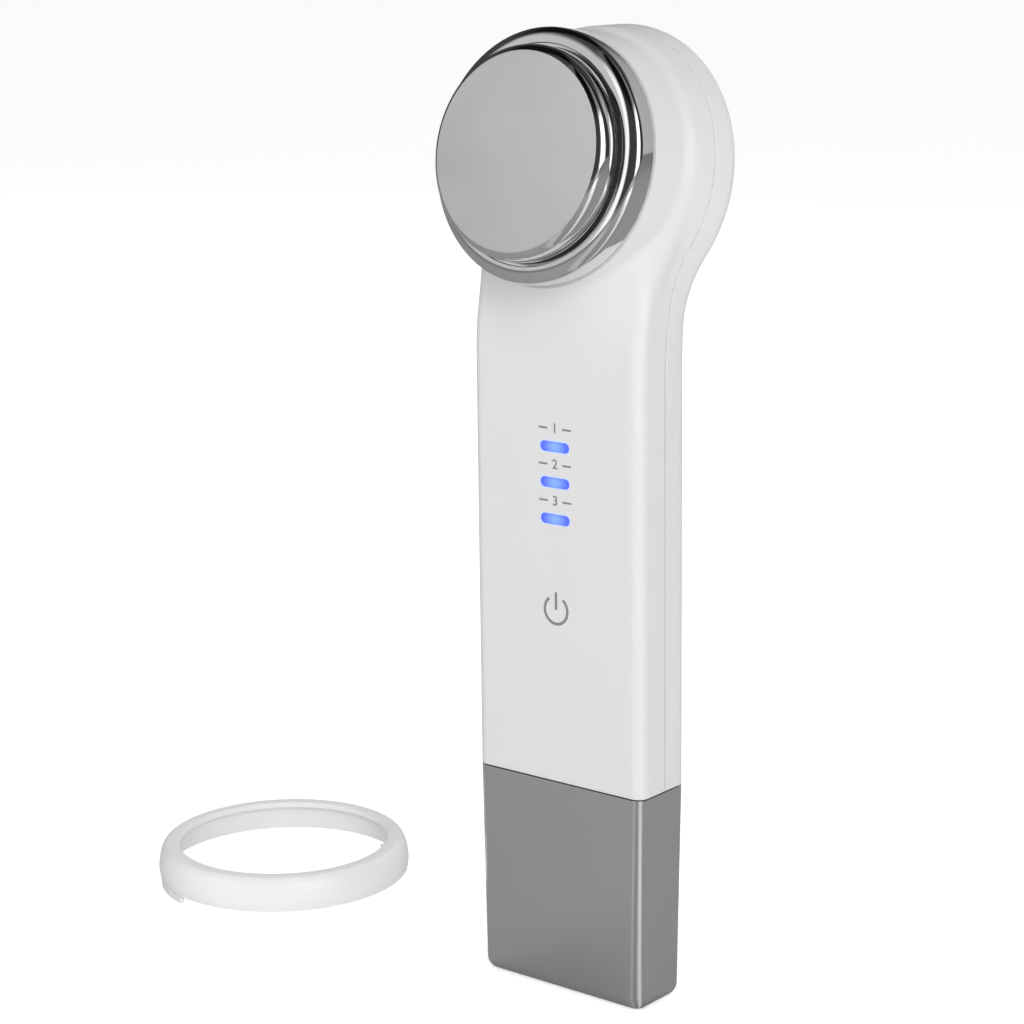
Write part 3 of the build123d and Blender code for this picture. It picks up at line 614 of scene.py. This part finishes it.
# ---- chrome bezel and probe cup ------------------------------------------------------------------
DISC_H = 10.55               # the flat disc's height above the seat
BEZEL_PROFILE = (            # radius, height above the seat, corner rounding
    (17.2, 0, 0),
    (22.0, 0, 0.05),
    (22.0, 0.7, 0.1),
    (22.65, 0.7, 0.15),
    (22.65, 4.2, 0.5),
    (22.2, 5.0, 0.6),
    (21.2, 5.6, 0.7),
    (19.6, 5.8, 0.12),
    (19.6, 5.45, 0.08),
    (17.2, 5.45, 0),
)
CUP_PROFILE = (
    (0, DISC_H, 0),
    (17.6, DISC_H, 0.12),
    (18.45, 10.0, 0.5),
    (18.9, 9.0, 0.5),
    (19.0, 8.1, 0.4),
    (19.0, 6.15, 0.15),
    (14.8, 6.15, 0),
    (14.8, -4.2, 0.1),
    (13.4, -4.2, 0.1),
    (13.4, 9.0, 0.2),
    (0, 9.0, 0),
)

finish_piece(
    turned(BEZEL_PROFILE, SEAT_PLACE, AXIS),
    "probe_bezel_turned",
    [chrome],
    "massager",
    ["probe_bezel"],
)
cup = finish_piece(
    turned(CUP_PROFILE, SEAT_PLACE, AXIS),
    "probe_cup_turned",
    [chrome, disc_metal],
    "massager",
    ["probe_cup"],
)
disc_front = head_place(0, 0, SEAT + DISC_H)
for face in cup.data.polygons:
    if abs((face.center / MM - disc_front).dot(AXIS)) < 2 * NEAR_PLANE:
        face.material_index = 1

# ---- lights --------------------------------------------------------------------------------------
PROUD = 0.02                 # how far lights and print stand in front of the handle
LENS_HALF_L = 3.62           # with the milky rim that the light bleeds into
LENS_R = 1.28
LENS_RIM = 0.31
LENS_DEPTH = 1.8             # how far it reaches behind the handle's face
LENS_SEGMENTS = 40


def capsule(bm, z, y_front, y_back):
    """A bar with round ends, standing out of the front face; gives its front faces."""
    turn = Matrix.Translation((0, y_front, z)) @ Matrix.Rotation(pi / 2, 4, "X")
    made = bmesh.ops.create_circle(
        bm,
        cap_ends=True,
        segments=LENS_SEGMENTS,
        radius=LENS_R,
        matrix=turn,
    )
    for vert in made["verts"]:
        vert.co.x += (LENS_HALF_L - LENS_R) * (1 if vert.co.x > 0 else -1)
    front = {face for vert in made["verts"] for face in vert.link_faces}
    grown = bmesh.ops.extrude_face_region(bm, geom=list(front), use_keep_orig=True)
    moved = [item for item in grown["geom"] if isinstance(item, bmesh.types.BMVert)]
    bmesh.ops.translate(bm, verts=moved, vec=(0, y_back - y_front, 0))
    return list(front)


def light_window(node_name, z):
    """A lit window with a milky rim."""
    bm = bmesh.new()
    front_faces = capsule(bm, z, -HALF_D - PROUD, -HALF_D + LENS_DEPTH)
    bmesh.ops.inset_region(bm, faces=front_faces, thickness=LENS_RIM, use_even_offset=True)
    for face in bm.faces:
        face.material_index = 0
    for face in front_faces:
        face.material_index = 1
    materials = [milky_lens, glowing_material(node_name + "_glow", z)]
    finish_piece(bm, node_name + "_window", materials, "massager", [node_name])


for lens_name, light_z in zip(("lens_top", "lens_middle", "lens_bottom"), LIGHT_HEIGHTS):
    light_window(lens_name, light_z)

# ---- printed marks -------------------------------------------------------------------------------
PRINT_Y = -HALF_D - PROUD
PRINT_T = 0.05
POWER_R = 2.34
POWER_LINE = 0.56
POWER_GAP = radians(37)      # each side of the gap at the top of the ring
POWER_BAR_H = 3.3
POWER_BAR_UP = 1.75
NUMBER_SIZE = 2.5
NUMBER_BOLD = 0.045
NUMBER_UP = 3.35             # above its light
DASH_X = 2.7
DASH_L = 2.0
DASH_T = 0.36


def printed_bar(bm, x, z, width, height):
    """A flat printed stroke on the front face."""
    block(bm, Matrix.Translation((x, PRINT_Y + PRINT_T / 2, z)), width, PRINT_T, height)


def power_mark():
    """The on-off symbol: an open ring with a bar in its gap."""
    bm = bmesh.new()
    middle = Vector((0, PRINT_Y, TOUCH_Z))
    ends = []
    for wide, deep in ((0, 0), (POWER_LINE, 0), (POWER_LINE, PRINT_T), (0, PRINT_T)):
        out = POWER_R + wide
        end = middle + Vector((out * sin(POWER_GAP), deep, out * cos(POWER_GAP)))
        ends.append(bm.verts.new(end))
    bmesh.ops.spin(
        bm,
        geom=[bm.faces.new(ends)],
        cent=middle,
        axis=(0, 1, 0),
        angle=2 * pi - 2 * POWER_GAP,
        steps=56,
    )
    printed_bar(bm, 0, TOUCH_Z + POWER_BAR_UP, POWER_LINE, POWER_BAR_H)
    finish_piece(bm, "power_mark", [print_grey], "massager", [])


def number_mark(text, z):
    """A generic number between two dashes, printed above a light."""
    curve = bpy.data.curves.new("number", "FONT")
    curve.body = text
    curve.size = NUMBER_SIZE
    curve.align_x = "CENTER"
    curve.align_y = "CENTER"
    curve.extrude = PRINT_T / 2
    curve.offset = NUMBER_BOLD
    curve.resolution_u = 6
    holder = bpy.data.objects.new("number", curve)
    bpy.context.collection.objects.link(holder)
    mesh = evaluated_mesh(holder)
    bm = bmesh.new()
    bm.from_mesh(mesh)
    bpy.data.meshes.remove(mesh)
    bmesh.ops.remove_doubles(bm, verts=bm.verts, dist=MERGE_DISTANCE)
    stand = Matrix.Translation((0, PRINT_Y + PRINT_T / 2, z)) @ Matrix.Rotation(pi / 2, 4, "X")
    bmesh.ops.transform(bm, matrix=stand, verts=bm.verts)
    for side in (-1, 1):
        printed_bar(bm, side * DASH_X, z, DASH_L, DASH_T)
    finish_piece(bm, "light_mark_" + text, [print_grey], "massager", [])


power_mark()
for text, light_z in zip("123", LIGHT_HEIGHTS):
    number_mark(text, light_z + NUMBER_UP)

# ---- cotton ring ---------------------------------------------------------------------------------
RING_PROFILE = (             # radius, height, corner rounding
    (26.1, 1.8, 0.12),
    (26.39, 3.65, 0.5),
    (26.1, 6.0, 0.8),
    (25.5, 7.8, 0.6),
    (24.6, 8.6, 0.35),
    (22.0, 8.6, 0.25),
    (22.0, 7.5, 0.15),
    (23.9, 6.4, 0.3),
    (24.9, 1.8, 0.12),
)
LUG_ARC = 35.0
LUG_BEARINGS = (60.0, 240.0)
LUG_RADII = (24.95, 25.95)
LUG_BURIED = 0.4             # how far a lug runs up into the wall
HOOK_ARC = 9.0               # the free end, under a notch
HOOK_NOTCH_H = 0.8


def lug(bearing):
    """One hooked lug under the ring's wall."""
    bm = bmesh.new()
    inner, outer = LUG_RADII
    notch = LUG_ARC / 2 - HOOK_ARC
    for low, high, top in (
        (-LUG_ARC / 2, notch, RING_LUG_H + LUG_BURIED),
        (notch, LUG_ARC / 2, RING_LUG_H - HOOK_NOTCH_H),
    ):
        start = radians(bearing + low)
        out = Vector((cos(start), sin(start), 0))
        corners = [
            bm.verts.new(RING_CENTRE + out * radius + UPRIGHT * z)
            for radius, z in ((inner, 0), (outer, 0), (outer, top), (inner, top))
        ]
        bmesh.ops.spin(
            bm,
            geom=[bm.faces.new(corners)],
            cent=RING_CENTRE,
            axis=UPRIGHT,
            angle=radians(high - low),
            steps=12,
        )
    return bm


ring_mesh = turned(RING_PROFILE, RING_CENTRE, UPRIGHT)
for bearing in LUG_BEARINGS:
    copy_into(ring_mesh, lug(bearing))
finish_piece(
    ring_mesh,
    "cotton_ring_moulded",
    [white_ring],
    "ring",
    ["cotton_ring"],
)

# ---- finishes of the other pieces ----------------------------------------------------------------
NODE_FINISHES = {
    "base_cap": blasted_metal,
    "seam_gasket": black_rubber,
    "probe_seal": black_rubber,
    "shell_screws": machine_steel,
    "bezel_screws": machine_steel,
    "probe_insulator": inner_plastic,
    "probe_clip": spring_steel,
    "light_baffle": inner_plastic,
    "status_leds": led_body,
    "touch_pad": spring_steel,
    "main_board": board_green,
    "socket_board": board_green,
    "board_chips": chip_black,
    "battery_tray": inner_plastic,
    "battery_cell": battery_foil,
    "battery_foam": grey_foam,
    "usb_socket": machine_steel,
    "cap_contact": spring_steel,
    "motor_can": machine_steel,
    "motor_shaft": machine_steel,
    "eccentric_weight": tungsten,
    "motor_cradle": inner_plastic,
    "battery_leads": lead_red,
    "motor_leads": lead_red,
    "probe_lead": lead_red,
}
for node_name, material in NODE_FINISHES.items():
    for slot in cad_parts[node_name].material_slots:
        slot.material = material


# ---- floor, light and surroundings ---------------------------------------------------------------
def ramp_node(nodes, stops):
    """A grey ramp from (position, level) stops."""
    node = nodes.new("ShaderNodeValToRGB")
    elements = node.color_ramp.elements
    while len(elements) < len(stops):
        elements.new(0.5)
    for element, (position, level) in zip(elements, stops):
        element.position = position
        element.color = (level, level, level, 1)
    return node


def mix_node(nodes, first=None, second=None, share=None):
    """A colour mix; what isn't given here is linked later."""
    node = nodes.new("ShaderNodeMix")
    node.data_type = "RGBA"
    for socket, level in (("A", first), ("B", second)):
        if level is not None:
            node.inputs[socket].default_value = (level, level, level, 1)
    if share is not None:
        node.inputs["Factor"].default_value = share
    return node


def bearing_ramp(nodes, links, vector, bearings):
    """Grey level by bearing round the upright axis, from (degrees, level) stops."""
    parts = nodes.new("ShaderNodeSeparateXYZ")
    links.new(vector, parts.inputs["Vector"])
    ahead = nodes.new("ShaderNodeMath")
    ahead.operation = "MULTIPLY"
    ahead.inputs[1].default_value = -1.0
    links.new(parts.outputs["Y"], ahead.inputs[0])
    bearing = nodes.new("ShaderNodeMath")
    bearing.operation = "ARCTAN2"
    links.new(parts.outputs["X"], bearing.inputs[0])
    links.new(ahead.outputs["Value"], bearing.inputs[1])
    turn = nodes.new("ShaderNodeMapRange")
    turn.inputs["From Min"].default_value = -pi
    turn.inputs["From Max"].default_value = pi
    links.new(bearing.outputs["Value"], turn.inputs["Value"])
    around = ramp_node(nodes, [((degrees + 180) / 360, level) for degrees, level in bearings])
    links.new(turn.outputs["Result"], around.inputs["Fac"])
    return around, parts


# painted reflection: the grey the floor shows only in mirror images, at each bearing from the cap's
# front corner; darker than the floor itself, with two painted bright strips that give the metal
# cap's corner its highlight lines
CAP_CORNER = Vector((17.1, -5.1, 0))
PAINTED_REFLECTION_BEARINGS = (
    (-180, 0.40), (-60, 0.40), (-30, 0.43), (-15, 0.42), (-9, 0.64), (0, 0.64), (6, 0.36),
    (36, 0.36), (44, 0.95), (64, 0.95), (72, 0.32), (120, 0.40), (180, 0.40),
)
FLOOR_R = 15.0               # metres
FLOOR_TONES = (0.90, 0.88)
FLOOR_LIFT = 0.5             # glow that keeps the floor white to the eye


def make_floor():
    """A plain pale floor to the eye; in mirror images its colour is the painted reflection grey
    with two bright strips.
    """
    bm = bmesh.new()
    bmesh.ops.create_circle(bm, cap_ends=True, segments=96, radius=FLOOR_R)
    mesh = bpy.data.meshes.new("floor")
    bm.to_mesh(mesh)
    bm.free()
    floor = bpy.data.objects.new("floor", mesh)
    bpy.context.collection.objects.link(floor)
    material = bpy.data.materials.new("pale_floor")
    material.use_nodes = True
    nodes, links = material.node_tree.nodes, material.node_tree.links
    shader = nodes["Principled BSDF"]
    place = nodes.new("ShaderNodeTexCoord")
    drift = nodes.new("ShaderNodeTexNoise")
    drift.inputs["Scale"].default_value = 3.0
    tone = mix_node(nodes, *FLOOR_TONES)
    links.new(place.outputs["Object"], drift.inputs["Vector"])
    links.new(drift.outputs["Fac"], tone.inputs["Factor"])
    shader.inputs["Roughness"].default_value = 0.9
    shader.inputs["Specular IOR Level"].default_value = 0.1
    seen = nodes.new("ShaderNodeLightPath")
    lift = nodes.new("ShaderNodeMath")
    lift.operation = "MULTIPLY"
    lift.inputs[1].default_value = FLOOR_LIFT
    links.new(seen.outputs["Is Camera Ray"], lift.inputs[0])
    # painted reflection: glossy rays see the bearing grey and its bright strips instead of the
    # floor's own tone
    mirrored = mix_node(nodes)
    from_corner = nodes.new("ShaderNodeMapping")
    from_corner.inputs["Location"].default_value = -CAP_CORNER * MM
    links.new(place.outputs["Object"], from_corner.inputs["Vector"])
    around, _ = bearing_ramp(nodes, links, from_corner.outputs["Vector"], PAINTED_REFLECTION_BEARINGS)
    links.new(around.outputs["Color"], mirrored.inputs["B"])
    links.new(seen.outputs["Is Glossy Ray"], mirrored.inputs["Factor"])
    links.new(tone.outputs["Result"], mirrored.inputs["A"])
    links.new(mirrored.outputs["Result"], shader.inputs["Base Color"])
    shader.inputs["Emission Color"].default_value = (1, 1, 1, 1)
    links.new(lift.outputs["Value"], shader.inputs["Emission Strength"])
    mesh.materials.append(material)


# what polished metal mirrors at each bearing, degrees from the front towards the right
STUDIO_BEARINGS = (
    (-180, 0.45), (-168, 0.4), (-152, 0.06), (-66, 0.06), (-54, 0.66), (-26, 0.64), (-20, 1.3),
    (-10, 1.3), (-4, 0.05), (52, 0.06), (66, 2.4), (96, 2.4), (106, 0.04), (128, 0.04),
    (136, 0.55), (180, 0.45),
)
STUDIO_HEIGHTS = ((0.0, 1.0), (0.55, 1.0), (0.74, 0.12), (1.0, 0.08))
SKY_LEVEL = 0.48             # even light on dull surfaces
BACKDROP_LEVEL = 1.2


def make_surroundings():
    """A studio of tall soft panels with dark between them, even for dull surfaces."""
    world = bpy.data.worlds.new("studio")
    bpy.context.scene.world = world
    world.use_nodes = True
    nodes, links = world.node_tree.nodes, world.node_tree.links
    place = nodes.new("ShaderNodeTexCoord")
    around, parts = bearing_ramp(nodes, links, place.outputs["Generated"], STUDIO_BEARINGS)
    upward = ramp_node(nodes, STUDIO_HEIGHTS)
    links.new(parts.outputs["Z"], upward.inputs["Fac"])
    mirrored = mix_node(nodes, share=1.0)
    mirrored.blend_type = "MULTIPLY"
    links.new(around.outputs["Color"], mirrored.inputs["A"])
    links.new(upward.outputs["Color"], mirrored.inputs["B"])
    seen = nodes.new("ShaderNodeLightPath")
    dull = mix_node(nodes, second=SKY_LEVEL)
    links.new(seen.outputs["Is Diffuse Ray"], dull.inputs["Factor"])
    links.new(mirrored.outputs["Result"], dull.inputs["A"])
    backdrop = mix_node(nodes, second=BACKDROP_LEVEL)
    links.new(seen.outputs["Is Camera Ray"], backdrop.inputs["Factor"])
    links.new(dull.outputs["Result"], backdrop.inputs["A"])
    links.new(backdrop.outputs["Result"], nodes["Background"].inputs["Color"])


SOFT_LIGHTS = (              # name, place, target, width, height, watts
    ("key_light", (0.78, -0.72, 0.55), (0, 0, 0.12), 0.5, 0.5, 5.6),
    ("back_light", (-0.30, 0.95, 0.60), (0, 0, 0.1), 0.8, 0.6, 3.0),
    ("fill_light", (-0.45, -0.85, 0.60), (0, 0, 0.1), 0.7, 0.5, 1.3),
)


def soft_light(name, place, target, width, height, power):
    """A large soft panel light, left out of mirror images."""
    data = bpy.data.lights.new(name, "AREA")
    data.shape = "RECTANGLE"
    data.size = width
    data.size_y = height
    data.energy = power
    light = bpy.data.objects.new(name, data)
    light.location = place
    way = Vector(target) - Vector(place)
    light.rotation_euler = way.to_track_quat("-Z", "Y").to_euler()
    light.visible_glossy = False
    bpy.context.collection.objects.link(light)


make_floor()
make_surroundings()
for light_values in SOFT_LIGHTS:
    soft_light(*light_values)

bpy.context.view_layer.update()
